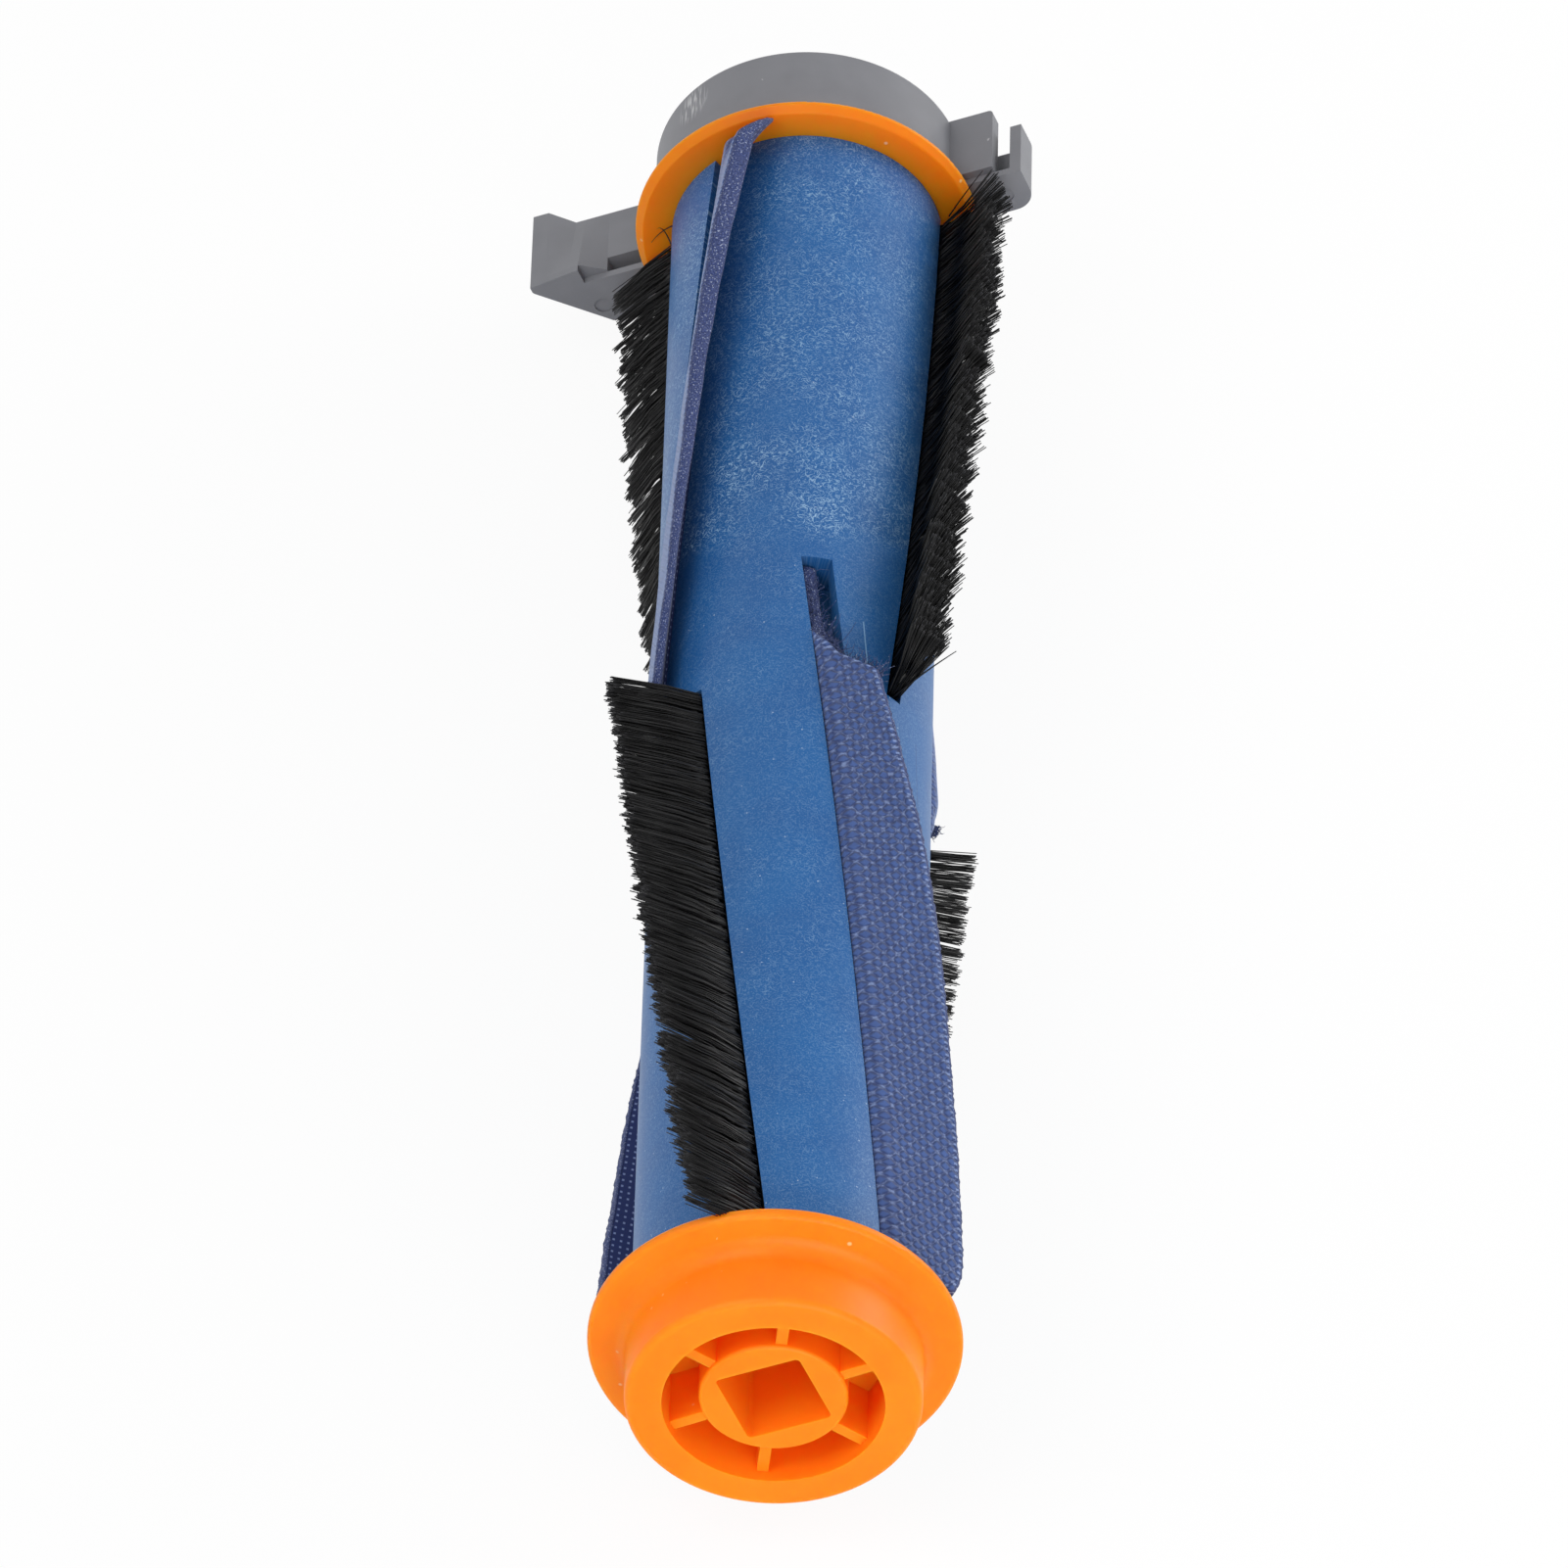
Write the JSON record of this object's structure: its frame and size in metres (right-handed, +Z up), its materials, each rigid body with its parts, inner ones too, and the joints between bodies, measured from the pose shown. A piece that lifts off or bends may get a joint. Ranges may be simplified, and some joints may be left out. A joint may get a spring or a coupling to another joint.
{
  "type": "robot vacuum roller brush",
  "caption": "Roller brush of a robot vacuum: blue core with chevron rows of black bristles and woven blue flaps, orange end caps and a grey bearing holder at one end.",
  "frame": {"origin": "centre of the drive ring's outer face, on the roller's axis", "axes": "+Y along the roller's axis from the drive end to the bearing holder, +Z up as the brush lies, +X to the right seen from the drive end"},
  "size_m": [0.05, 0.1769, 0.0408],
  "materials": {
    "core_blue": "satin with fine scuffs",
    "cap_orange": "satin moulded",
    "bristle_black": "nylon filament",
    "spine_plastic": "plain moulded",
    "flap_fabric": "woven, coated",
    "housing_grey": "fine matt",
    "steel": "turned",
    "bush_bronze": "sintered"
  },
  "bodies": {
    "holder": {"bearing_housing": "housing_grey", "bearing_bush": "bush_bronze", "bearing_cover": "housing_grey"},
    "roller": {"roller_core": "core_blue", "drive_end_cap": "cap_orange", "bearing_end_cap": "cap_orange", "axle_pin": "steel", "thrust_washer": "steel", "retaining_clip": "steel", "bristle_spine_drive_1": "spine_plastic", "bristle_row_drive_1": "bristle_black", "sweeper_flap_drive_1": "flap_fabric", "bristle_spine_drive_2": "spine_plastic", "bristle_row_drive_2": "bristle_black", "sweeper_flap_drive_2": "flap_fabric", "bristle_spine_bearing_1": "spine_plastic", "bristle_row_bearing_1": "bristle_black", "sweeper_flap_bearing_1": "flap_fabric", "bristle_spine_bearing_2": "spine_plastic", "bristle_row_bearing_2": "bristle_black", "sweeper_flap_bearing_2": "flap_fabric"}
  },
  "joints": [
    {"name": "roller_spin", "type": "hinge", "parent": "holder", "child": "roller", "pos_m": [0, 0.17, 0], "axis": [0, 1, 0], "continuous": true}
  ]
}
